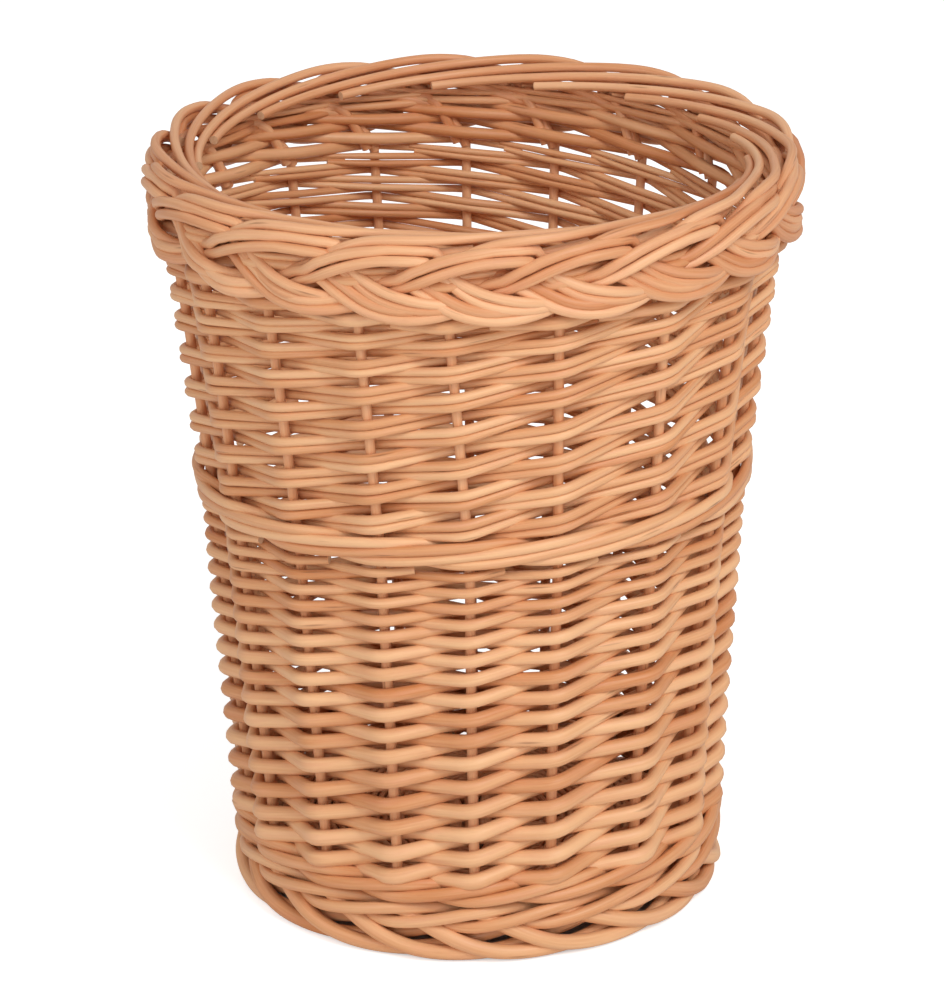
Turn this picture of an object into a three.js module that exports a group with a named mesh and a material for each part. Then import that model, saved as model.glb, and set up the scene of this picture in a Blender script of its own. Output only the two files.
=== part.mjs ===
// An open round basket of willow rods: a ring of upright side stakes, woven siding in two
// bands with a wale between them, an upsett wale and a foot border below, a crossed-stick base,
// and a plaited rim border. Millimetres, +Z up, the floor at Z = 0, the basket's axis on Z.
import * as THREE from 'three';

// Driving dimensions
const basketHeight = 360;
const stakeCount = 18;
const stakeDiameter = 5;
const stakeSides = 6;
const clearance = 0.35;

// The circle of stakes flares from the floor through the waist to the top
const floorRadius = 108.5;
const waistRadius = 120.5;
const waistHeight = 200;
const topRadius = 137;
const topHeight = 345;
const stakeSteps = 8;
const cutPasses = 12;

// Foot border, one closed roll with a flat underside
const footHeight = 14;
const footWidth = 17;
const footOverhang = 8.8;
const footRib = 0.9;
const footSides = 8;
const footStepsPerBay = 3;

// Wales, rings of stout rods that pass inside one stake in three and outside the other two
const waleRod = 6.1;
const waleStride = 3;
const upsettRods = 4;
const midWaleRods = 3;

// Lower siding, single rods that thin as they climb
const lowerSidingHeight = 150;
const lowerRodCount = 12;
const lowerRodWidth = 4.4;
const lowerRodButt = 5.75;
const lowerRodTip = 3.8;

// Upper siding, pairs of rods drawn as one taller rod
const upperRodCount = 9;
const upperRodWidth = 4.7;
const upperRodButt = 7.0;
const upperRodTip = 4.6;
const rodEndGap = 0.8;

// Plaited rim border, three flat strands
const strandCount = 3;
const strandWidth = 11.6;
const strandThickness = 4.7;
const borderHeight = 35.5;
const borderLean = 13.5;
const strandSlack = 0.9;
const stepsPerWave = 12;

// Base, crossed sticks that spread like rays, and the weave that they run through
const sticksPerLayer = 4;
const stickDiameter = 6;
const stickSides = 8;
const stickGap = 1.2;
const stickEndGap = 2;
const baseWeaver = 3.4;
const ribCrestShare = 0.5;

const willow = { color: '#c98f60', roughness: 0.62, metalness: 0 };
const weaverWillow = { color: '#d09a6b', roughness: 0.62, metalness: 0 };
const stoutWillow = { color: '#c18858', roughness: 0.62, metalness: 0 };

const basket = new THREE.Group();
const bay = 2 * Math.PI / stakeCount;
const backOfBasket = Math.PI / 2;

// Stand a piece in the basket under its own name
function addPiece(name, geometry, look) {
  const mesh = new THREE.Mesh(geometry, new THREE.MeshStandardMaterial(look));
  mesh.name = name;
  basket.add(mesh);
}

function numbered(name, index) {
  return name + '_' + String(index + 1).padStart(2, '0');
}

// Radius of the circle of stake centres at a height: a parabola through the three radii
function stakeRadius(z) {
  const lowerSlope = (waistRadius - floorRadius) / waistHeight;
  const upperSlope = (topRadius - waistRadius) / (topHeight - waistHeight);
  const bend = (upperSlope - lowerSlope) / topHeight;
  return floorRadius + lowerSlope * z + bend * z * (z - waistHeight);
}

// How far out from the stakes' circle a rod's centre passes, on side 1 outside or side -1 inside
function passOffset(side, rodWidth) {
  return side * (stakeDiameter / 2 + clearance + rodWidth / 2);
}

function onCircle(radius, angle, z) {
  return new THREE.Vector3(radius * Math.cos(angle), radius * Math.sin(angle), z);
}

// Join rings of points, listed counter-clockwise round the way they advance, into one closed solid.
// A solid that is a loop joins its last ring to its first, any other gets a flat cap at each end.
function loft(rings, isLoop) {
  const sides = rings[0].length;
  const positions = [];
  for (const ring of rings) {
    for (const point of ring) {
      positions.push(point.x, point.y, point.z);
    }
  }
  const triangles = [];
  const bandCount = isLoop ? rings.length : rings.length - 1;
  for (let band = 0; band < bandCount; band += 1) {
    const here = band * sides;
    const next = ((band + 1) % rings.length) * sides;
    for (let side = 0; side < sides; side += 1) {
      const turn = (side + 1) % sides;
      triangles.push(here + side, here + turn, next + side);
      triangles.push(here + turn, next + turn, next + side);
    }
  }
  if (!isLoop) {
    const last = (rings.length - 1) * sides;
    for (let side = 1; side < sides - 1; side += 1) {
      triangles.push(0, side + 1, side);
      triangles.push(last, last + side, last + side + 1);
    }
  }
  const geometry = new THREE.BufferGeometry();
  geometry.setAttribute('position', new THREE.Float32BufferAttribute(positions, 3));
  geometry.setIndex(triangles);
  geometry.computeVertexNormals();
  return geometry;
}

// Outline of a rod's section, in shares of its half width and half height
const diamond = [[1, 0], [0, 1], [-1, 0], [0, -1]];
const hexagon = [[1, 0.5], [0, 1], [-1, 0.5], [-1, -0.5], [0, -1], [1, -0.5]];

// One section of a rod that runs round the basket, in the plane through the axis. It leans with
// the stakes, so that it lies evenly against them.
function rodSection(outline, offset, angle, z, width, height) {
  return outline.map(([across, up]) => {
    const pointZ = z + up * height / 2;
    return onCircle(stakeRadius(pointZ) + offset + across * width / 2, angle, pointZ);
  }).reverse();
}

// Rim border: where its flat strands lie. The plait is a band that leans in as it rises.
const bandRise = borderHeight - strandWidth;
const bandLength = Math.hypot(borderLean, bandRise);
const alongBand = { r: -borderLean / bandLength, z: bandRise / bandLength };
const outOfBand = { r: alongBand.z, z: -alongBand.r };
const strandOutline = [[1, 0], [0.6, 1], [-0.6, 1], [-1, 0], [-0.6, -1], [0.6, -1]];
const strandReachZ = Math.max(...strandOutline.map(([side, face]) => (
  (side * strandWidth * alongBand.z + face * strandThickness * outOfBand.z) / 2
)));
const strandReachR = Math.max(...strandOutline.map(([side, face]) => (
  (side * strandWidth * alongBand.r + face * strandThickness * outOfBand.r) / 2
)));
const crownZ = basketHeight - strandReachZ;
const skirtZ = basketHeight - borderHeight + strandReachZ;
const wallOutside = stakeRadius(skirtZ) + passOffset(1, upperRodWidth) + upperRodWidth / 2;
const skirtRadius = wallOutside + clearance + strandReachR;
const crownRadius = skirtRadius - borderLean;
const bandCentre = { r: (skirtRadius + crownRadius) / 2, z: (skirtZ + crownZ) / 2 };
const waveReach = Math.hypot(crownRadius - skirtRadius, crownZ - skirtZ) / 2;
const crossingShare = Math.sin(2 * Math.PI / 3);
const strandLift = (strandThickness + 2 * clearance + strandSlack) / (2 * crossingShare);

// Height at which a plumb line at this radius meets the underside of the plait
function plaitUnderside(radius) {
  const depth = strandLift + strandThickness / 2 + clearance;
  return bandCentre.z - (depth + outOfBand.r * (radius - bandCentre.r)) / outOfBand.z;
}

// Height at which a line beside a stake's centre, this far outward of it, meets the plait
function cutHeight(outward) {
  let z = skirtZ;
  for (let pass = 0; pass < cutPasses; pass += 1) {
    z = plaitUnderside(stakeRadius(z) + outward);
  }
  return z;
}

// Side stakes, six-sided, from the foot border to a slanted cut under the plait
function stakeGeometry(angle) {
  const bottom = footHeight + clearance;
  const rings = [];
  for (let step = 0; step <= stakeSteps; step += 1) {
    const ring = [];
    for (let corner = 0; corner < stakeSides; corner += 1) {
      const turn = corner * 2 * Math.PI / stakeSides;
      const outward = Math.cos(turn) * stakeDiameter / 2;
      const sideways = Math.sin(turn) * stakeDiameter / 2;
      const z = bottom + (cutHeight(outward) - bottom) * step / stakeSteps;
      const point = new THREE.Vector3(stakeRadius(z) + outward, sideways, z);
      ring.push(point.applyAxisAngle(new THREE.Vector3(0, 0, 1), angle));
    }
    rings.push(ring);
  }
  return loft(rings, false);
}

for (let stake = 0; stake < stakeCount; stake += 1) {
  addPiece(numbered('side_stake', stake), stakeGeometry(backOfBasket + stake * bay), willow);
}

// Foot border: a closed roll with slanting ribs, flat where it stands on the floor. Its section
// is an octagon that fills its width and height.
const footMiddle = stakeRadius(0) + footOverhang - footWidth / 2;

function footCorner(corner, angle) {
  const turn = (corner + 0.5) * 2 * Math.PI / footSides;
  const toCorner = 1 / Math.cos(Math.PI / footSides);
  const across = Math.cos(turn) * toCorner;
  const z = (1 + Math.sin(turn) * toCorner) * footHeight / 2;
  const isOutermost = corner === 0 || corner === footSides - 1;
  const slant = stakeCount * angle + Math.PI * z / footHeight;
  const dip = isOutermost ? footRib * (1 - Math.cos(slant)) : 0;
  return onCircle(footMiddle + across * footWidth / 2 - dip, angle, z);
}

const footRings = [];
for (let step = 0; step < stakeCount * footStepsPerBay; step += 1) {
  const angle = backOfBasket + step * bay / footStepsPerBay;
  const ring = [];
  for (let corner = footSides - 1; corner >= 0; corner -= 1) {
    ring.push(footCorner(corner, angle));
  }
  footRings.push(ring);
}
addPiece('foot_border', loft(footRings, true), stoutWillow);

// One wale rod: a closed ring that passes inside one stake in each stride, from this one on
function waleRing(z, firstInside) {
  const rings = [];
  for (let stake = 0; stake < stakeCount; stake += 1) {
    const isInside = (stake + waleStride - firstInside) % waleStride === 0;
    const offset = passOffset(isInside ? -1 : 1, waleRod);
    rings.push(rodSection(hexagon, offset, backOfBasket + stake * bay, z, waleRod, waleRod));
  }
  return loft(rings, true);
}

function addWale(name, bottom, rodCount) {
  for (let rod = 0; rod < rodCount; rod += 1) {
    const z = bottom + waleRod / 2 + rod * (waleRod + clearance);
    addPiece(numbered(name, rod), waleRing(z, rod % waleStride), stoutWillow);
  }
  return bottom + rodCount * (waleRod + clearance);
}

// Siding: rods that weave outside one stake and inside the next while they climb. With an even
// number of stakes the weave changes step at the back of the basket, once each time round.
function addSiding(name, bottom, height, rodCount, width, butt, tip, outline) {
  const tread = (butt + tip) / 2 + clearance;
  const strokes = Math.floor(stakeCount * (height - butt) / tread);
  const turns = strokes / stakeCount;
  const firstZ = bottom + butt / 2;
  const climbTo = (share) => firstZ + turns * (
    (butt + clearance) * share + (tip - butt) * share * share / 2
  );
  for (let rod = 0; rod < rodCount; rod += 1) {
    const first = Math.round(rod * strokes / rodCount);
    const last = Math.round((rod + 1) * strokes / rodCount);
    const rings = [];
    for (let stroke = first; stroke <= last; stroke += 1) {
      const changes = stakeCount % 2 === 0 ? Math.floor(stroke / stakeCount) : 0;
      const side = (stroke + changes) % 2 === 0 ? 1 : -1;
      const share = stroke / strokes;
      const z = climbTo(share);
      const offset = passOffset(side, width);
      const atStart = stroke === first ? 1 : 0;
      const atEnd = stroke === last ? 1 : 0;
      const shift = (atStart - atEnd) * rodEndGap / 2 / (stakeRadius(z) + offset);
      const angle = backOfBasket + stroke * bay + shift;
      const thickness = butt + (tip - butt) * share;
      rings.push(rodSection(outline, offset, angle, z, width, thickness));
    }
    addPiece(numbered(name, rod), loft(rings, false), weaverWillow);
  }
  return bottom + height + clearance;
}

const upsettTop = addWale('upsett_wale_rod', footHeight + clearance, upsettRods);
const lowerTop = addSiding('lower_siding_rod', upsettTop, lowerSidingHeight,
  lowerRodCount, lowerRodWidth, lowerRodButt, lowerRodTip, diamond);
const midWaleTop = addWale('middle_wale_rod', lowerTop, midWaleRods);
const upperSidingTop = plaitUnderside(wallOutside) - clearance;
addSiding('upper_siding_rod', midWaleTop, upperSidingTop - midWaleTop,
  upperRodCount, upperRodWidth, upperRodButt, upperRodTip, hexagon);

// Plaited rim border: each strand waves from the skirt over the crown, and lifts clear of the
// strands that it crosses. The waves fit a whole number of times round the rim.
const waves = Math.round(stakeCount / strandCount);
const plaitSteps = waves * stepsPerWave;

function strandCentre(strand, step) {
  const angle = backOfBasket + 2 * Math.PI * step / plaitSteps;
  const phase = 2 * Math.PI * (step / stepsPerWave + strand / strandCount);
  const along = waveReach * Math.cos(phase);
  const lift = strandLift * Math.sin(2 * phase);
  const radius = bandCentre.r + alongBand.r * along + outOfBand.r * lift;
  const z = bandCentre.z + alongBand.z * along + outOfBand.z * lift;
  return onCircle(radius, angle, z);
}

function strandGeometry(strand) {
  const rings = [];
  for (let step = 0; step < plaitSteps; step += 1) {
    const centre = strandCentre(strand, step);
    const angle = Math.atan2(centre.y, centre.x);
    const outward = onCircle(outOfBand.r, angle, outOfBand.z);
    const ahead = strandCentre(strand, step + 1).sub(strandCentre(strand, step - 1));
    const across = new THREE.Vector3().crossVectors(outward, ahead).normalize();
    const up = new THREE.Vector3().crossVectors(ahead, across).normalize();
    rings.push(strandOutline.map(([side, face]) => (
      centre.clone()
        .addScaledVector(across, side * strandWidth / 2)
        .addScaledVector(up, face * strandThickness / 2)
    )));
  }
  return loft(rings, true);
}

for (let strand = 0; strand < strandCount; strand += 1) {
  addPiece(numbered('border_strand', strand), strandGeometry(strand), willow);
}

// Base: its middle plane lies a weaver's thickness above the foot border. The sticks cross in the
// slath, four over four, and each then runs out level along its own ray.
const baseMiddle = footHeight + clearance + baseWeaver;
const stickRadius = stickDiameter / 2;
const stickPitch = stickDiameter + stickGap;
const spokeCount = 4 * sticksPerLayer;
const spokeTurn = 2 * Math.PI / spokeCount;
const slathRadius = sticksPerLayer * stickPitch;
const weaveInside = slathRadius + baseWeaver / 2;
const weaveOutside = stakeRadius(footHeight) + passOffset(-1, waleRod) - waleRod / 2 - clearance;

// The weave rises in a rib over and under every spoke and thins to a web between spokes. Across
// a spoke its outline and the tunnel that the stick lies in have the same number of corners.
const tunnelRadius = stickRadius + clearance / Math.cos(Math.PI / stickSides);
const ribHeight = stickRadius + clearance + baseWeaver;
const ribHalfWidth = stickRadius * ribCrestShare;

function alongSpoke(spoke, radius, across, up) {
  const ray = (spoke + 0.5) * spokeTurn;
  const point = new THREE.Vector3(Math.sqrt(radius * radius - across * across), across, baseMiddle + up);
  return point.applyAxisAngle(new THREE.Vector3(0, 0, 1), ray);
}

function weaveOutline(spoke, radius) {
  const webBefore = spoke * spokeTurn;
  const webAfter = ((spoke + 1) % spokeCount) * spokeTurn;
  const webTop = baseMiddle + baseWeaver / 2;
  const webBottom = baseMiddle - baseWeaver / 2;
  return [
    onCircle(radius, webAfter, webTop),
    alongSpoke(spoke, radius, ribHalfWidth, ribHeight),
    alongSpoke(spoke, radius, -ribHalfWidth, ribHeight),
    onCircle(radius, webBefore, webTop),
    onCircle(radius, webBefore, webBottom),
    alongSpoke(spoke, radius, -ribHalfWidth, -ribHeight),
    alongSpoke(spoke, radius, ribHalfWidth, -ribHeight),
    onCircle(radius, webAfter, webBottom),
  ];
}

// Corners of an eight-sided round section, counter-clockwise from the side
function roundSection(radius) {
  return Array.from({ length: stickSides }, (unused, corner) => {
    const turn = (corner + 0.5) * 2 * Math.PI / stickSides;
    return [radius * Math.cos(turn), radius * Math.sin(turn)];
  });
}

function tunnelOutline(spoke, radius) {
  return roundSection(tunnelRadius).map(([across, up]) => alongSpoke(spoke, radius, across, up));
}

const weaveCorners = [];

function addQuad(first, second, third, fourth) {
  for (const point of [first, second, third, first, third, fourth]) {
    weaveCorners.push(point.x, point.y, point.z);
  }
}

for (let spoke = 0; spoke < spokeCount; spoke += 1) {
  const inside = weaveOutline(spoke, weaveInside);
  const outside = weaveOutline(spoke, weaveOutside);
  const tunnelInside = tunnelOutline(spoke, weaveInside);
  const tunnelOutside = tunnelOutline(spoke, weaveOutside);
  for (let corner = 0; corner < stickSides; corner += 1) {
    const next = (corner + 1) % stickSides;
    const isWeb = corner % (stickSides / 2) === stickSides / 2 - 1;
    if (!isWeb) {
      addQuad(inside[corner], inside[next], outside[next], outside[corner]);
    }
    addQuad(tunnelInside[corner], tunnelOutside[corner], tunnelOutside[next], tunnelInside[next]);
    addQuad(outside[corner], outside[next], tunnelOutside[next], tunnelOutside[corner]);
    addQuad(tunnelInside[corner], tunnelInside[next], inside[next], inside[corner]);
  }
}
const weave = new THREE.BufferGeometry();
weave.setAttribute('position', new THREE.Float32BufferAttribute(weaveCorners, 3));
weave.computeVertexNormals();
addPiece('base_weave', weave, weaverWillow);

// One base stick, along X: over or under the others in the slath, and out along its ray
function stickGeometry(stick, layer) {
  const fromMiddle = stick - (sticksPerLayer - 1) / 2;
  const offset = fromMiddle * stickPitch;
  const ray = fromMiddle * spokeTurn;
  const level = baseMiddle + layer * (stickDiameter + clearance) / 2;
  const reach = weaveOutside - stickEndGap;
  const ahead = [
    new THREE.Vector3(offset / Math.tan(ray), offset, level),
    onCircle(slathRadius, ray, baseMiddle),
    onCircle(reach, ray, baseMiddle),
  ];
  const behind = ahead.map((point) => new THREE.Vector3(-point.x, point.y, point.z));
  const path = [...behind.reverse(), ...ahead];
  const rings = path.map((point, index) => {
    const before = path[Math.max(index, 1) - 1];
    const after = path[Math.min(index, path.length - 2) + 1];
    const comingIn = (index > 0 ? point : after).clone().sub(before).setZ(0).normalize();
    const goingOut = after.clone().sub(index < path.length - 1 ? point : before).setZ(0).normalize();
    const heading = comingIn.add(goingOut).normalize();
    const sideways = new THREE.Vector3(-heading.y, heading.x, 0);
    return roundSection(stickRadius).map(([across, up]) => (
      point.clone().addScaledVector(sideways, across).add(new THREE.Vector3(0, 0, up))
    ));
  });
  return loft(rings, false);
}

for (let stick = 0; stick < sticksPerLayer; stick += 1) {
  addPiece(numbered('base_stick_under', stick), stickGeometry(stick, -1), stoutWillow);
  const above = stickGeometry(stick, 1);
  above.rotateZ(Math.PI / 2);
  addPiece(numbered('base_stick_over', stick), above, stoutWillow);
}

export default basket;
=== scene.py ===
import math
import random

import bpy
import numpy as np
from mathutils import Matrix, Vector


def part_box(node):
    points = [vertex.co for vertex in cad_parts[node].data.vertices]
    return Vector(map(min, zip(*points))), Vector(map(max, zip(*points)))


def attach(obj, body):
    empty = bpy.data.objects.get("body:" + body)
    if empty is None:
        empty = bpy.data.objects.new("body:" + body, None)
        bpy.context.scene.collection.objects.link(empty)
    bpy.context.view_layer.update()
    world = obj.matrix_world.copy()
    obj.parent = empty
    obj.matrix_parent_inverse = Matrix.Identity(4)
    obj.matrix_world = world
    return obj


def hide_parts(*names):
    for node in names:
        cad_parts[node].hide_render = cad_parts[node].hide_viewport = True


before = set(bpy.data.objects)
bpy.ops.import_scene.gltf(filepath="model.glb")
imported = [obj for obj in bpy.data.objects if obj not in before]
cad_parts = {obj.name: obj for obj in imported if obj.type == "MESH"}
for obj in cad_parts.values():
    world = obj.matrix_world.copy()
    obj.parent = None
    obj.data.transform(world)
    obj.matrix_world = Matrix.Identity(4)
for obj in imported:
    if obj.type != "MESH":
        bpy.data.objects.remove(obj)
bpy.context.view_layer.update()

# The stakes stand on a circle that flares from the floor, through the waist, to the top
STAKES = 18
STAKE_THICK = 0.0050
FLOOR_RADIUS = 0.1075
WAIST_RADIUS = 0.1232
WAIST_HEIGHT = 0.200
TOP_RADIUS = 0.1420
TOP_HEIGHT = 0.345

# Degrees by which each stake strays from even spacing up to the waist, and at its top, from the
# back one counter-clockwise
WAIST_STRAY = [0.7, -0.1, -0.7, -1.2, -1.0, 0.2, -0.8, 0.3, 0.4,
               -0.7, -2.0, 1.6, 2.6, 1.6, 1.0, 1.8, 1.8, 1.7]
TOP_STRAY = [1.4, 0.4, -0.4, -1.6, -2.0, -1.2, -0.5, -1.5, -1.9,
             -5.3, -4.8, -3.0, -2.5, -1.6, 1.6, 4.4, 3.8, 3.3]
# How far the wall leans to the left between foot and rim
WALL_LEAN = 0.0014

# Heights at which the rods of each siding pass outside a stake, one row above another
LOWER_ROWS = [0.0422, 0.0537, 0.0667, 0.0789, 0.0914, 0.1036, 0.1147, 0.1256, 0.1360,
              0.1462, 0.1560, 0.1654, 0.1742, 0.1826, 0.1904, 0.1979]
UPPER_ROWS = [0.2220, 0.2369, 0.2521, 0.2685, 0.2847, 0.2984, 0.3110, 0.3219, 0.3320, 0.3408,
              0.3446]
# Millimetres by which the lower siding, and the waist, sag at each stake, as the strays are counted
LOWER_SAG = [0, 0, 0, 1, 2, 4, 3.6, 0.9, 0, 0, 0.7, 1.7, 4.8, 4.2, 2, 1, 0, 0]
WAIST_SAG = [0, 0, 0, 1, 2, 4, 3.8, 2.2, 0.6, 0.3, 0, -0.6, 1.6, 2.2, 1, 0, 0, 0]

# How thick a rod is after so many strokes from stake to stake. The top rods start with a slanted cut
LOWER_TAPER = [(-1, 0.0080), (11, 0.0071), (21, 0.0062), (27, 0.0050), (32, 0.0041)]
PAIR_TAPER = [(-1, 0.0048), (6, 0.0046), (14, 0.0038), (14.6, 0.0028)]
TOP_TAPER = [(14, 0.0030), (14.4, 0.0034), (14.9, 0.0062), (15.5, 0.0067), (18, 0.0064),
             (20.75, 0.0037), (23.4, 0.0030)]
# The share by which the upper rods are thinner at the back of the basket than at the front
BACK_THINNER = 0.11
# Each rod of a pair lies so far from the pair's middle, in rod thicknesses
PAIR_APART = 0.47
# A weaver is straight but for this share of a bay each side of a stake, and rows stray this much
CORNER_BEND = 0.14
ROW_STRAY = 0.0004
UPSETT_ROD = 0.0060
WAIST_ROD = 0.0051
# Height at which the stakes bend into the plait
STAKE_END = 0.3225
# The plait's rods and the foot's butts thin out from the first to the last of these
PLAIT_LOW_THICK = (0.0051, 0.0043)
PLAIT_HIGH_THICK = (0.0051, 0.0047)
FOOT_THICK = (0.0078, 0.0056)
# Points in each bay along a woven rod, and along a stake or half a base stick
BAY_STEPS = 12
STAKE_STEPS = 24

dice = random.Random(18)


# Shape helpers

def stake_circle(height):
    """Radius of the circle of stake centres at this height."""
    lower_slope = (WAIST_RADIUS - FLOOR_RADIUS) / WAIST_HEIGHT
    upper_slope = (TOP_RADIUS - WAIST_RADIUS) / (TOP_HEIGHT - WAIST_HEIGHT)
    bend = (upper_slope - lower_slope) / TOP_HEIGHT
    return FLOOR_RADIUS + lower_slope * height + bend * height * (height - WAIST_HEIGHT)


def stake_stray(stake, height):
    """Degrees by which a stake strays at this height: above the waist it leans to its top's."""
    lean = min(max((height - WAIST_HEIGHT) / (TOP_HEIGHT - WAIST_HEIGHT), 0), 1)
    waist, top = WAIST_STRAY[stake % STAKES], TOP_STRAY[stake % STAKES]
    return waist + (top - waist) * lean


def on_circle(bay, radius, height):
    """A place counted in bays from the back stake, counter-clockwise."""
    stake = math.floor(bay)
    here, there = stake_stray(stake, height), stake_stray(stake + 1, height)
    stray = here + (there - here) * (bay - stake)
    lean = WALL_LEAN * math.sin(math.pi * min(max(height / TOP_HEIGHT, 0), 1))
    return turned_out(90 + bay * 360 / STAKES + stray, radius, height) - Vector((lean, 0, 0))


def turned_out(degrees, radius, height):
    angle = math.radians(degrees)
    return Vector((radius * math.cos(angle), radius * math.sin(angle), height))


def smooth_between(stations, at):
    """Values of a smooth curve through stations of (place, value, value, ...)."""
    last = len(stations) - 1
    index = 0
    while index < last - 1 and at > stations[index + 1][0]:
        index += 1
    here, there = stations[index], stations[index + 1]
    before = stations[max(index - 1, 0)]
    after = stations[min(index + 2, last)]
    span = there[0] - here[0]
    share = min(max((at - here[0]) / span, 0), 1)
    values = []
    for k in range(1, len(here)):
        slope_here = (there[k] - before[k]) / (there[0] - before[0]) * span
        slope_there = (after[k] - here[k]) / (after[0] - here[0]) * span
        values.append(
            (2 * share ** 3 - 3 * share ** 2 + 1) * here[k]
            + (share ** 3 - 2 * share ** 2 + share) * slope_here
            + (3 * share ** 2 - 2 * share ** 3) * there[k]
            + (share ** 3 - share ** 2) * slope_there
        )
    return values


def spaced(first, last, per_bay):
    """Evenly spaced places from first to last, with about this many in each bay."""
    count = max(2, round((last - first) * per_bay))
    return [first + (last - first) * step / count for step in range(count + 1)]


# Materials

def srgb(red, green, blue):
    """A colour picked as 0 to 255, as the shader's linear values."""
    linear = [
        c / 255 / 12.92 if c < 11 else ((c / 255 + 0.055) / 1.055) ** 2.4
        for c in (red, green, blue)
    ]
    return (*linear, 1)


def add_node(tree, kind, place, **settings):
    node = tree.nodes.new(kind)
    node.location = place
    for key, value in settings.items():
        setattr(node, key, value)
    return node


def feed(tree, socket, value):
    """Gives a socket a plain number or colour, or a link."""
    if isinstance(value, (int, float, tuple)):
        socket.default_value = value
    else:
        tree.links.new(value, socket)


def maths(tree, operation, place, first, second=0.0, clamp=False):
    node = add_node(tree, "ShaderNodeMath", place, operation=operation, use_clamp=clamp)
    feed(tree, node.inputs[0], first)
    feed(tree, node.inputs[1], second)
    return node.outputs[0]


def blend(tree, place, factor, first, second):
    node = add_node(tree, "ShaderNodeMix", place, data_type="RGBA")
    feed(tree, node.inputs[0], factor)
    feed(tree, node.inputs[6], first)
    feed(tree, node.inputs[7], second)
    return node.outputs[2]


def skin_place(tree, place, skin, along, around):
    """A place on a rod's skin for noise, squeezed by these scales along and around the rod."""
    joined = add_node(tree, "ShaderNodeCombineXYZ", place)
    for number, (part, scale) in enumerate(zip(skin, (along, around, around))):
        scaled = maths(tree, "MULTIPLY", (place[0] - 200, place[1] - 170 * number), part, scale)
        tree.links.new(scaled, joined.inputs[number])
    return joined.outputs[0]


def skin_noise(tree, place, skin, along, around, detail):
    noise = add_node(tree, "ShaderNodeTexNoise", place)
    noise.inputs["Scale"].default_value = 1.0
    noise.inputs["Detail"].default_value = detail
    tree.links.new(skin_place(tree, (place[0] - 200, place[1]), skin, along, around),
                   noise.inputs["Vector"])
    return noise.outputs[0]


def make_willow_grain():
    """Shared skin of a peeled willow rod: streaks along it, slow changes of tone, bud scars."""
    tree = bpy.data.node_groups.new("willow grain", "ShaderNodeTree")
    face = tree.interface
    face.new_socket("Pale", in_out="INPUT", socket_type="NodeSocketColor")
    face.new_socket("Deep", in_out="INPUT", socket_type="NodeSocketColor")
    face.new_socket("Colour", in_out="OUTPUT", socket_type="NodeSocketColor")
    face.new_socket("Height", in_out="OUTPUT", socket_type="NodeSocketFloat")
    enter = add_node(tree, "NodeGroupInput", (-600, 600))
    leave = add_node(tree, "NodeGroupOutput", (1400, 0))
    uv = add_node(tree, "ShaderNodeUVMap", (-2400, 0), uv_map="UVMap")
    parts = add_node(tree, "ShaderNodeSeparateXYZ", (-2200, 0))
    tree.links.new(uv.outputs[0], parts.inputs[0])
    tone = add_node(tree, "ShaderNodeAttribute", (-2400, -300), attribute_name="tone").outputs["Fac"]
    turn = maths(tree, "MULTIPLY", (-2000, -160), parts.outputs[1], 2 * math.pi)
    # Each rod reads its own stretch of the noise, so no two rods look alike
    shift = maths(tree, "MULTIPLY", (-2200, -300), tone, 40.0)
    skin = (
        maths(tree, "ADD", (-1800, 60), parts.outputs[0], shift),
        maths(tree, "COSINE", (-1800, -160), turn),
        maths(tree, "SINE", (-1800, -320), turn),
    )
    streaks = skin_noise(tree, (-800, 500), skin, 38.0, 3.4, 3.0)
    slow = skin_noise(tree, (-800, 0), skin, 9.0, 0.5, 2.0)
    patches = skin_noise(tree, (-800, -500), skin, 46.0, 1.1, 2.0)
    scars = add_node(tree, "ShaderNodeTexVoronoi", (-800, -1000))
    scars.inputs["Scale"].default_value = 1.0
    tree.links.new(skin_place(tree, (-1000, -1000), skin, 17.0, 0.55), scars.inputs["Vector"])
    near = maths(tree, "MULTIPLY", (-600, -1000), scars.outputs["Distance"], 7.5)
    scar = maths(tree, "SUBTRACT", (-400, -1000), 1.0, near, clamp=True)

    depth = maths(tree, "MULTIPLY", (-400, 300), tone, 0.75)
    depth = maths(tree, "ADD", (-200, 200), depth, maths(tree, "MULTIPLY", (-400, 100), slow, 1.3))
    depth = maths(tree, "ADD", (0, 200), depth, maths(tree, "MULTIPLY", (-400, 450), streaks, 0.8))
    depth = maths(tree, "SUBTRACT", (200, 200), depth, 0.98, clamp=True)
    colour = blend(tree, (400, 300), depth, enter.outputs["Pale"], enter.outputs["Deep"])
    flushed = maths(tree, "SUBTRACT", (200, -200), patches, 0.45, clamp=True)
    pink = maths(tree, "MULTIPLY", (400, -200), flushed, 1.2)
    colour = blend(tree, (600, 200), pink, colour, srgb(226, 158, 124))
    dark = maths(tree, "MULTIPLY", (600, -400), scar, 0.75)
    colour = blend(tree, (800, 200), dark, colour, srgb(128, 72, 38))
    tree.links.new(colour, leave.inputs["Colour"])

    height = maths(tree, "MULTIPLY", (600, -700), streaks, 0.55)
    height = maths(tree, "ADD", (800, -700), height, maths(tree, "MULTIPLY", (600, -900), slow, 0.6))
    height = maths(tree, "ADD", (1000, -700), height, maths(tree, "MULTIPLY", (800, -900), scar, 0.7))
    tree.links.new(height, leave.inputs["Height"])
    return tree


willow_grain = make_willow_grain()


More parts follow.
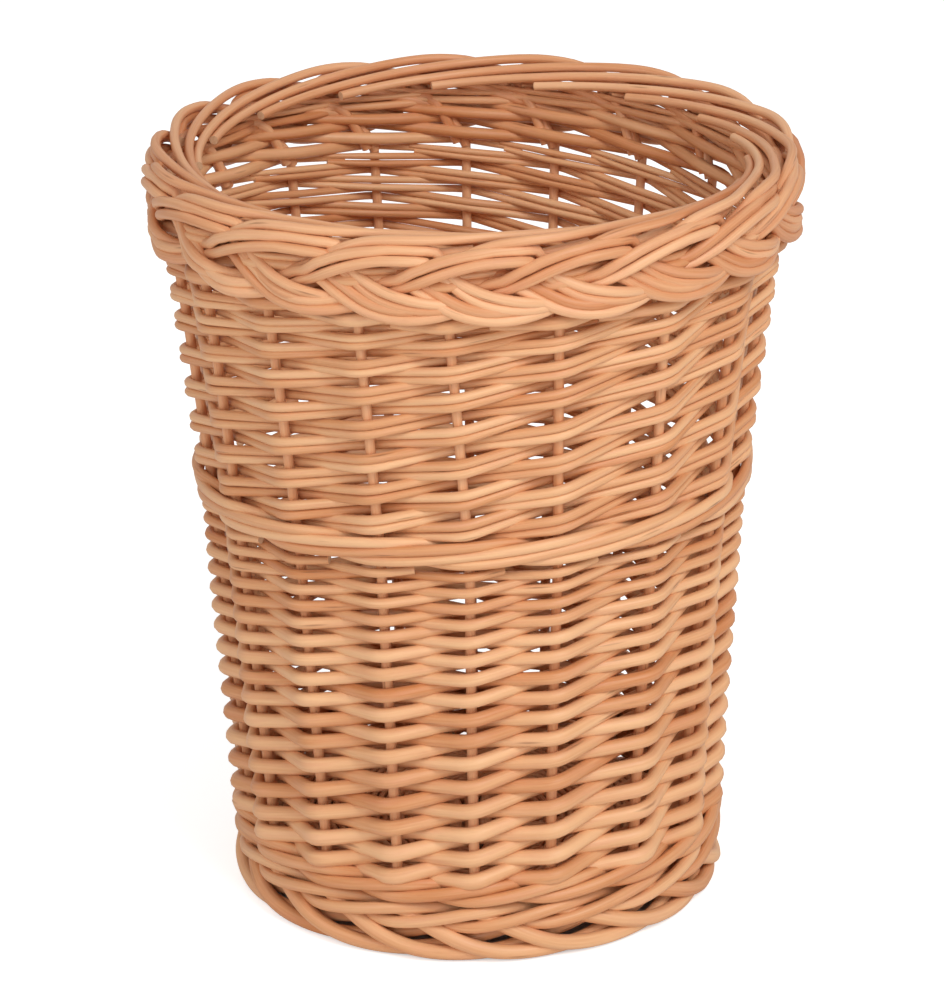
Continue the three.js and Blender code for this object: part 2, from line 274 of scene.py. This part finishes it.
def make_willow(name, pale, deep, roughness):
    """Peeled, boiled willow with a satin skin."""
    material = bpy.data.materials.new(name)
    material.use_nodes = True
    tree = material.node_tree
    shader = tree.nodes["Principled BSDF"]
    grain = add_node(tree, "ShaderNodeGroup", (-500, 200), node_tree=willow_grain)
    grain.inputs["Pale"].default_value = pale
    grain.inputs["Deep"].default_value = deep
    bump = add_node(tree, "ShaderNodeBump", (-250, -200))
    bump.inputs["Strength"].default_value = 0.35
    bump.inputs["Distance"].default_value = 0.0004
    tree.links.new(grain.outputs["Height"], bump.inputs["Height"])
    tree.links.new(bump.outputs[0], shader.inputs["Normal"])
    tree.links.new(grain.outputs["Colour"], shader.inputs["Base Color"])
    shader.inputs["Roughness"].default_value = roughness
    shader.inputs["Specular IOR Level"].default_value = 0.42
    return material


def make_cut_willow():
    """The pale sawn end of a rod."""
    material = bpy.data.materials.new("cut willow end")
    material.use_nodes = True
    tree = material.node_tree
    shader = tree.nodes["Principled BSDF"]
    place = add_node(tree, "ShaderNodeTexCoord", (-900, 0))
    noise = add_node(tree, "ShaderNodeTexNoise", (-700, 0))
    noise.inputs["Scale"].default_value = 900
    noise.inputs["Detail"].default_value = 3
    tree.links.new(place.outputs["Object"], noise.inputs["Vector"])
    colour = blend(tree, (-400, 100), noise.outputs[0], srgb(240, 208, 172), srgb(206, 156, 112))
    tree.links.new(colour, shader.inputs["Base Color"])
    shader.inputs["Roughness"].default_value = 0.75
    return material


stake_willow = make_willow("stake willow", srgb(238, 184, 138), srgb(206, 132, 82), 0.45)
weaver_willow = make_willow("weaver willow", srgb(238, 186, 138), srgb(206, 134, 82), 0.45)
stout_willow = make_willow("stout willow", srgb(238, 186, 138), srgb(206, 134, 82), 0.45)
cut_willow = make_cut_willow()
SKINS = {"stake_willow": stake_willow, "weaver_willow": weaver_willow, "stout_willow": stout_willow}


# Rods

def bend_rod(name, path, thickness, slot, nodes, roundness=3):
    """A willow rod along a path, given its thickness at each point, with flat sawn ends."""
    bpy.ops.object.select_all(action="DESELECT")
    bpy.ops.curve.primitive_nurbs_path_add()
    rod = bpy.context.object
    rod.name = name
    curve = rod.data
    curve.splines.clear()
    spline = curve.splines.new("POLY")
    spline.points.add(len(path) - 1)
    for point, place, thick in zip(spline.points, path, thickness):
        point.co = (*place, 1)
        point.radius = thick / max(thickness)
    curve.bevel_depth = max(thickness) / 2
    curve.bevel_resolution = roundness
    curve.use_fill_caps = True
    bpy.ops.object.convert(target="MESH")
    mesh = rod.data
    length = sum((after - before).length for before, after in zip(path, path[1:]))
    spread = np.empty(len(mesh.loops) * 2, np.float32)
    mesh.uv_layers[0].data.foreach_get("uv", spread)
    spread[0::2] *= length
    mesh.uv_layers[0].data.foreach_set("uv", spread)
    mesh.materials.append(SKINS[slot])
    mesh.materials.append(cut_willow)
    for face in mesh.polygons:
        if len(face.vertices) == 3:
            face.material_index = 1
    bpy.ops.object.mode_set(mode="EDIT")
    bpy.ops.mesh.select_all(action="SELECT")
    bpy.ops.mesh.remove_doubles(threshold=0.00001)
    bpy.ops.object.mode_set(mode="OBJECT")
    tone = mesh.attributes.new("tone", "FLOAT", "POINT")
    tone.data.foreach_set("value", np.full(len(mesh.vertices), dice.random(), np.float32))
    bpy.ops.object.shade_smooth_by_angle(angle=math.radians(50))
    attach(rod, "root")
    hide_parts(*nodes)


def numbered(name, index):
    return f"{name}_{index + 1:02d}"


def nodes_of(name):
    """The CAD nodes whose names start so."""
    return sorted(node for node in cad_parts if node.startswith(name))


def make_stakes():
    """The upright rods, from the foot to where they bend into the plait."""
    for stake in range(STAKES):
        node = numbered("side_stake", stake)
        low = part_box(node)[0].z
        shares = [step / STAKE_STEPS for step in range(STAKE_STEPS + 1)]
        heights = [low + (STAKE_END - low) * share for share in shares]
        path = [on_circle(stake, stake_circle(height), height) for height in heights]
        thick = [STAKE_THICK * (1.04 - 0.12 * share) for share in shares]
        bend_rod(numbered("stake_rod", stake), path, thick, "stake_willow", [node])


def row_height(rows, stroke):
    """Height of a siding rod after this many strokes: it is outside a stake at odd strokes."""
    stations = [(2 * index + 1, height) for index, height in enumerate(rows)]
    first, last = stations[0], stations[-1]
    if stroke < first[0]:
        return first[1] + (stroke - first[0]) * (stations[1][1] - first[1]) / 2
    if stroke > last[0]:
        return last[1] + (stroke - last[0]) * (last[1] - stations[-2][1]) / 2
    return smooth_between(stations, stroke)[0]


# Height, share of the lower siding's sag and share of the waist's sag that a row has there
SAG_SHARES = [
    (0.020, 0, 0), (0.070, 1, 0), (0.140, 1, 0.1), (0.180, 0.2, 0.8), (0.205, 0, 1), (0.225, 0, 0.8),
    (0.255, 0, 0),
]


def row_sag(bay, height):
    """How far a row hangs lower here than an even row would."""
    stake = math.floor(bay)
    shares = smooth_between(SAG_SHARES, height)
    here, there = (
        LOWER_SAG[k % STAKES] * shares[0] + WAIST_SAG[k % STAKES] * shares[1]
        for k in (stake, stake + 1)
    )
    return (here + (there - here) * (bay - stake)) / 1000


def rounded(corners, at):
    """A place along straight stretches between corners, each of them rounded."""
    bend = CORNER_BEND
    corner = round(at)
    beyond = at - corner
    before = corners[corner] - corners[corner - 1]
    after = corners[corner + 1] - corners[corner]
    if beyond <= -bend:
        return corners[corner] + before * beyond
    if beyond >= bend:
        return corners[corner] + after * beyond
    past = after * (beyond + bend) ** 2 - before * (beyond - bend) ** 2
    return corners[corner] + past / (4 * bend)


def weave(name, rod, rows, first, last, taper, thinner, apart, nodes):
    """A rod that runs straight from stake to stake, outside one and inside the next, and climbs.

    thinner is the share by which rods at the back are thinner, and apart is how far above the
    middle of its pair a rod lies, in rod thicknesses.
    """
    def thick_at(stroke):
        back = 0.5 + 0.5 * math.cos((rod + stroke) * 2 * math.pi / STAKES)
        return smooth_between(taper, stroke)[0] * (1 - thinner * back)

    corners = {}
    for stroke in range(math.floor(first) - 1, math.ceil(last) + 2):
        thick = thick_at(stroke)
        side = 1 if stroke % 2 else -1
        height = row_height(rows, stroke) + dice.uniform(-ROW_STRAY, ROW_STRAY)
        height -= row_sag(rod + stroke, height)
        reach = side * (STAKE_THICK + thick) / 2 / (1 - CORNER_BEND)
        corners[stroke] = on_circle(rod + stroke, stake_circle(height) + reach, height)
    path = []
    thickness = []
    for stroke in spaced(first, last, BAY_STEPS):
        place = rounded(corners, stroke)
        # Between stakes, where rods cross, a pair turns a little and is squeezed
        crossing = min(abs(stroke - round(stroke)) / 0.4, 1)
        thick = thick_at(stroke)
        turned = math.radians(10) * crossing
        outward = Vector((place.x, place.y, 0)).normalized()
        place += apart * thick * (math.sin(turned) * outward + math.cos(turned) * Vector((0, 0, 1)))
        path.append(place)
        thickness.append(thick * (1 - 0.05 * crossing))
    bend_rod(name, path, thickness, "weaver_willow", nodes)


def make_sidings():
    """Single rods up to the waist, pairs above it, and stout rods under the plait."""
    lower = nodes_of("lower_siding_rod")
    upper = nodes_of("upper_siding_rod")
    for rod in range(STAKES):
        weave(numbered("lower_weaver", rod), rod, LOWER_ROWS, -0.25, 31.4, LOWER_TAPER,
              0, 0, lower)
        weave(numbered("upper_weaver_over", rod), rod, UPPER_ROWS, -0.3, 14.60, PAIR_TAPER,
              BACK_THINNER, PAIR_APART, upper)
        weave(numbered("upper_weaver_under", rod), rod, UPPER_ROWS, -0.35, 14.55, PAIR_TAPER,
              BACK_THINNER, -PAIR_APART, upper)
        weave(numbered("top_weaver", rod), rod, UPPER_ROWS, 14.35, 23.4, TOP_TAPER,
              BACK_THINNER, 0, upper)


def wale(name, rods, stakes_outside, height, rise, rod_thick, nodes):
    """Rods that pass outside some stakes and inside the next one, each rising as it goes.

    Each rod ends behind a stake, just short of where the first of the round began.
    """
    stride = stakes_outside + 1
    out = (STAKE_THICK + rod_thick) / 2
    dip = rise * 0.46
    stations = []
    for lap in range(-1, STAKES // stride + 2):
        start = lap * stride
        for stroke in range(stakes_outside):
            share = stroke / (stakes_outside - 1)
            stations.append((start + stroke, out, (share - 0.5) * rise))
        stations.append((start + stakes_outside - 0.5, 0.0, dip))
        stations.append((start + stakes_outside, -out, 0.0))
        stations.append((start + stakes_outside + 0.5, 0.0, -dip))
    for rod in range(rods):
        last = max(
            stroke for stroke in range(STAKES + rods)
            if stroke % stride == stakes_outside
            and (stroke + 1 + rod) % STAKES < rods
        )
        path = []
        for bay in spaced(-0.7, last + 0.1, 10):
            offset, lift = smooth_between(stations, bay)
            level = height + lift - row_sag(bay + rod, height)
            path.append(on_circle(bay + rod, stake_circle(level) + offset, level))
        bend_rod(numbered(name, rod), path, [rod_thick] * len(path), "stout_willow", nodes)


def make_wales():
    upsett = nodes_of("upsett_wale_rod")
    wale("upsett_waler_low", 3, 2, 0.0215, 0.0074, UPSETT_ROD, upsett)
    wale("upsett_waler_high", 3, 2, 0.0344, 0.0060, UPSETT_ROD, upsett)
    wale("waist_waler", 4, 3, 0.2093, 0.0088, WAIST_ROD, nodes_of("middle_wale_rod"))


# How the two rods of each plait stroke run from their own stake: bays, radius, height
PLAIT_LOW_ROD = [
    (0.00, 0.1372, 0.3200), (0.06, 0.1376, 0.3260), (0.20, 0.1393, 0.3345), (0.42, 0.1418, 0.3420),
    (0.61, 0.1460, 0.3402), (0.75, 0.1470, 0.3355), (0.96, 0.1482, 0.3300), (1.18, 0.1493, 0.3270),
    (1.42, 0.1500, 0.3265), (1.69, 0.1472, 0.3280), (1.95, 0.1445, 0.3320), (2.20, 0.1448, 0.3375),
    (2.37, 0.1472, 0.3410), (2.49, 0.1492, 0.3438), (2.61, 0.1502, 0.3464), (2.75, 0.1504, 0.3489),
    (2.88, 0.1507, 0.3508), (3.05, 0.1507, 0.3526), (3.20, 0.1502, 0.3530), (3.34, 0.1495, 0.3530),
    (3.53, 0.1472, 0.3515), (3.72, 0.1452, 0.3420), (3.94, 0.1476, 0.3350), (4.17, 0.1498, 0.3318),
    (4.46, 0.1480, 0.3306), (4.75, 0.1445, 0.3326), (5.10, 0.1420, 0.3375), (5.40, 0.1428, 0.3440),
    (5.70, 0.1455, 0.3533), (5.98, 0.1465, 0.3592), (6.22, 0.1468, 0.3612), (6.50, 0.1460, 0.3617),
    (7.00, 0.1415, 0.3608), (7.50, 0.1375, 0.3594), (8.00, 0.1345, 0.3577), (8.50, 0.1318, 0.3560),
    (9.00, 0.1298, 0.3545), (9.50, 0.1280, 0.3530),
]
PLAIT_HIGH_ROD = [
    (0.10, 0.1362, 0.3220), (0.30, 0.1372, 0.3390), (0.48, 0.1405, 0.3447), (0.68, 0.1448, 0.3420),
    (0.84, 0.1462, 0.3378), (1.00, 0.1480, 0.3336), (1.17, 0.1492, 0.3310), (1.37, 0.1498, 0.3305),
    (1.59, 0.1472, 0.3315), (1.85, 0.1440, 0.3352), (2.10, 0.1435, 0.3408), (2.27, 0.1468, 0.3438),
    (2.39, 0.1492, 0.3478), (2.49, 0.1498, 0.3499), (2.59, 0.1499, 0.3520), (2.73, 0.1500, 0.3542),
    (2.90, 0.1493, 0.3558), (3.02, 0.1492, 0.3566), (3.14, 0.1480, 0.3572), (3.27, 0.1473, 0.3573),
    (3.45, 0.1462, 0.3570), (3.60, 0.1440, 0.3555), (3.75, 0.1452, 0.3445), (3.84, 0.1462, 0.3420),
    (4.01, 0.1484, 0.3384), (4.22, 0.1500, 0.3358), (4.39, 0.1493, 0.3342), (4.60, 0.1455, 0.3325),
    (4.85, 0.1422, 0.3340), (5.10, 0.1402, 0.3368), (5.40, 0.1396, 0.3405), (5.70, 0.1398, 0.3445),
    (6.00, 0.1406, 0.3490), (6.30, 0.1412, 0.3520), (6.60, 0.1408, 0.3540), (6.90, 0.1398, 0.3549),
]

# How much further in and higher the crown's rods lie at the front than at the back
FRONT_CROWN = [
    (0, 0, 0), (6.50, 0, 0), (7.00, 0.0017, 0.0005), (7.50, 0.0025, 0.0009), (8.50, 0.0030, 0.0008),
    (9.50, 0.0030, 0.0004),
]

# Degrees by which each stroke strays where it first goes down, where it goes over the crown,
# and at its tip
PLAIT_STRAY = [
    (0, 0, 0), (0, 0, 1), (-1, 1, 2), (-3, 3, 3), (2, 4, 0), (5.5, 1.5, -4),
    (2.5, -1, -8), (0.5, -3.5, -5.5), (-3, -4, -3.5), (-5, -3, -1), (-6.5, -3.5, 0), (-7.5, -2, 2.5),
    (-6.5, -1, 3), (-3, 0, 2), (-1, 0, 1), (0, 0, 0), (0, 0, 0), (0, 0, 0),
]


def lay_rod(name, path, butt_and_tip, slot, nodes):
    """A rod that thins out evenly from its butt to its tip."""
    butt, tip = butt_and_tip
    steps = len(path) - 1
    thickness = [butt + (tip - butt) * step / steps for step in range(steps + 1)]
    bend_rod(name, path, thickness, slot, nodes, 4)


def plait_path(stake, stations):
    """A plait rod's way round the rim: it leaves with its stake, which may stray."""
    gone_down, over_crown, tip = PLAIT_STRAY[stake]
    strays = [(0, TOP_STRAY[stake]), (0.7, gone_down), (1.9, gone_down), (3.7, over_crown),
              (5.2, over_crown), (stations[-1][0] + 0.1, tip)]
    path = []
    for bay in spaced(stations[0][0], stations[-1][0], BAY_STEPS):
        stray = smooth_between(strays, bay)[0]
        degrees = 90 + (stake + bay) * 360 / STAKES + stray
        front = 0.5 - 0.5 * math.sin(math.radians(degrees))
        inward, up = smooth_between(FRONT_CROWN, bay)
        radius, height = smooth_between(stations, bay)
        path.append(turned_out(degrees, radius - inward * front, height + up * front))
    return path


def make_plait():
    """The rim: each stake's top, and the rod set in beside it, plaited over and round the edge."""
    strands = nodes_of("border_strand")
    for stake in range(STAKES):
        lay_rod(numbered("plait_low_rod", stake), plait_path(stake, PLAIT_LOW_ROD),
                PLAIT_LOW_THICK, "stake_willow", strands)
        lay_rod(numbered("plait_high_rod", stake), plait_path(stake, PLAIT_HIGH_ROD),
                PLAIT_HIGH_THICK, "stake_willow", strands)


# How a foot rod runs: down the outside, along the floor and up inside the next ones
FOOT_ROD = [
    (0.00, 0.1105, 0.0250), (0.30, 0.1110, 0.0185), (0.55, 0.1130, 0.0145), (0.80, 0.1145, 0.0105),
    (1.10, 0.1145, 0.0066), (1.45, 0.1138, 0.0045), (1.90, 0.1125, 0.0041), (2.30, 0.1100, 0.0046),
    (2.70, 0.1070, 0.0070), (3.20, 0.1048, 0.0105), (3.60, 0.1031, 0.0134), (4.00, 0.1027, 0.0143),
    (4.50, 0.1027, 0.0145),
]


def make_foot():
    """The foot: stout butts turned down, each laid along the floor over the next ones."""
    for stake in range(STAKES):
        path = [
            on_circle(stake + bay, *smooth_between(FOOT_ROD, bay))
            for bay in spaced(FOOT_ROD[0][0], FOOT_ROD[-1][0], BAY_STEPS)
        ]
        lay_rod(numbered("foot_rod", stake), path, FOOT_THICK, "stout_willow", ["foot_border"])


# The woven base
SPOKES = 16
BASE_LEVEL = 0.01775
BASE_STICK = 0.0060
STICK_PITCH = 0.0072
SLATH_EDGE = 0.0288
BASE_EDGE = 0.0992
BASE_ROD = 0.0031
BASE_ROUNDS = 16
# A stick ends this much short of the base's edge
STICK_SHORT = 0.0015


def make_base_sticks():
    """Four sticks through four, parallel in the middle and spread like rays outside it."""
    for layer, direction, side in (("under", 0, -1), ("over", 90, 1)):
        turned = Matrix.Rotation(math.radians(direction), 3, "Z")
        for stick in range(4):
            beside = (stick - 1.5) * STICK_PITCH
            ray = math.radians((stick - 1.5) * 360 / SPOKES)
            bends_at = beside / math.tan(ray)
            level_at = SLATH_EDGE * math.cos(ray)
            path = []
            for step in range(-STAKE_STEPS, STAKE_STEPS + 1):
                along = (BASE_EDGE - STICK_SHORT) * math.cos(ray) * step / STAKE_STEPS
                across = abs(along) * math.tan(ray) if abs(along) > bends_at else beside
                share = min(max((abs(along) - bends_at) / (level_at - bends_at), 0), 1)
                share = share * share * (3 - 2 * share)
                level = side * (BASE_STICK / 2 + 0.0001) * (1 - share)
                path.append(turned @ Vector((along, across, BASE_LEVEL + level)))
            bend_rod(f"base_{layer}_rod_{stick + 1:02d}", path, [BASE_STICK] * len(path),
                     "stout_willow", [f"base_stick_{layer}_{stick + 1:02d}"])


def make_base_weave():
    """Two rods twisted round each spoke in turn, round after round, each in six lengths."""
    steps = BASE_ROUNDS * SPOKES * 4
    inside = SLATH_EDGE + BASE_ROD
    outside = BASE_EDGE - BASE_ROD / 2
    for rod in range(2):
        for part in range(6):
            path = []
            for step in range(steps * part // 6, steps * (part + 1) // 6 + 1):
                turn = step / (SPOKES * 4)
                twist = math.pi * (turn * SPOKES + rod)
                radius = inside + (outside - inside) * turn / BASE_ROUNDS
                radius += BASE_ROD * 0.35 * math.cos(twist)
                lift = (BASE_STICK + BASE_ROD) / 2 * math.sin(twist)
                path.append(turned_out(360 * turn, radius, BASE_LEVEL + lift))
            bend_rod(numbered("base_weaver", rod * 6 + part), path, [BASE_ROD] * len(path),
                     "weaver_willow", ["base_weave"], 2)


# Set, light and camera

CAMERA_DISTANCE = 2.036
CAMERA_HEIGHT = 0.972
CAMERA_PITCH = 21.02
CAMERA_YAW = -0.05
CAMERA_ROLL = -0.46
CAMERA_LENS = 168.35
# The strength at which the world lights the basket
SKY_LIGHT = 0.54
# The floor's glow that only the camera sees, how far from the middle it starts, and its fade; inside
# that radius the glow is left out, a painted shade under the basket
FLOOR_GLOW = 0.60
PAINTED_SHADE_RADIUS = 0.104
PAINTED_SHADE_FADE = 0.010


def make_camera():
    pitch, yaw, roll = (math.radians(a) for a in (CAMERA_PITCH, CAMERA_YAW, CAMERA_ROLL))
    ahead = Vector((
        math.sin(yaw) * math.cos(pitch),
        math.cos(yaw) * math.cos(pitch),
        -math.sin(pitch),
    ))
    level = Vector((math.cos(yaw), -math.sin(yaw), 0))
    upright = level.cross(ahead)
    right = math.cos(roll) * level + math.sin(roll) * upright
    up = -math.sin(roll) * level + math.cos(roll) * upright
    bpy.ops.object.camera_add()
    camera = bpy.context.object
    camera.name = "camera"
    turned = Matrix((right, up, -ahead)).transposed().to_4x4()
    camera.matrix_world = Matrix.Translation((0, -CAMERA_DISTANCE, CAMERA_HEIGHT)) @ turned
    camera.data.sensor_fit = "VERTICAL"
    camera.data.sensor_height = 36
    camera.data.lens = CAMERA_LENS
    camera.data.clip_end = 50
    bpy.context.scene.camera = camera


def make_floor():
    """A pale floor that reads white in the picture and keeps the basket's soft shadow, with painted
    shade under the basket where its glow is left out.
    """
    bpy.ops.object.select_all(action="DESELECT")
    bpy.ops.mesh.primitive_grid_add(x_subdivisions=2, y_subdivisions=2, size=14)
    floor = bpy.context.object
    floor.name = "floor"
    material = bpy.data.materials.new("pale floor")
    material.use_nodes = True
    tree = material.node_tree
    shader = tree.nodes["Principled BSDF"]
    shader.inputs["Base Color"].default_value = (0.80, 0.80, 0.80, 1)
    shader.inputs["Roughness"].default_value = 0.9
    rays = add_node(tree, "ShaderNodeLightPath", (-600, 300))
    glow = add_node(tree, "ShaderNodeEmission", (-200, 300))
    # Painted shade: no glow under the basket, so the floor seen through the gaps of its foot reads
    # dark
    place = add_node(tree, "ShaderNodeTexCoord", (-1400, 0))
    away = add_node(tree, "ShaderNodeVectorMath", (-1200, 0), operation="LENGTH")
    tree.links.new(place.outputs["Object"], away.inputs[0])
    beyond = maths(tree, "SUBTRACT", (-1000, 0), away.outputs["Value"], PAINTED_SHADE_RADIUS)
    beyond = maths(tree, "MULTIPLY", (-800, 0), beyond, FLOOR_GLOW / PAINTED_SHADE_FADE, clamp=True)
    beyond = maths(tree, "MINIMUM", (-600, 0), beyond, FLOOR_GLOW)
    strength = maths(tree, "MULTIPLY", (-400, 300), rays.outputs["Is Camera Ray"], beyond)
    tree.links.new(strength, glow.inputs["Strength"])
    both = add_node(tree, "ShaderNodeAddShader", (100, 200))
    tree.links.new(shader.outputs[0], both.inputs[0])
    tree.links.new(glow.outputs[0], both.inputs[1])
    tree.links.new(both.outputs[0], tree.nodes["Material Output"].inputs["Surface"])
    floor.data.materials.append(material)


def soft_lamp(name, place, size, power):
    bpy.ops.object.light_add(type="AREA", location=place)
    lamp = bpy.context.object
    lamp.name = name
    lamp.data.shape = "DISK"
    lamp.data.size = size
    lamp.data.energy = power
    aim = Vector((0, 0, 0.18)) - Vector(place)
    lamp.rotation_euler = aim.to_track_quat("-Z", "Y").to_euler()


def light_studio():
    soft_lamp("key_lamp", (1.15, -1.8, 2.3), 1.3, 36)
    soft_lamp("fill_lamp", (-1.8, -1.6, 1.2), 1.6, 9)
    soft_lamp("front_lamp", (0.4, -2.6, 0.30), 1.8, 13)
    world = bpy.context.scene.world or bpy.data.worlds.new("studio")
    bpy.context.scene.world = world
    world.use_nodes = True
    tree = world.node_tree
    sky = tree.nodes["Background"]
    sky.inputs["Color"].default_value = (1, 1, 1, 1)
    rays = add_node(tree, "ShaderNodeLightPath", (-600, 0))
    # The camera sees it at full white
    seen = maths(tree, "MULTIPLY", (-400, 0), rays.outputs["Is Camera Ray"], 1 - SKY_LIGHT)
    tree.links.new(maths(tree, "ADD", (-200, 0), seen, SKY_LIGHT), sky.inputs["Strength"])
    bpy.context.scene.view_settings.view_transform = "Standard"


make_camera()
light_studio()
make_floor()
make_stakes()
make_wales()
make_sidings()
make_plait()
make_foot()
make_base_sticks()
make_base_weave()
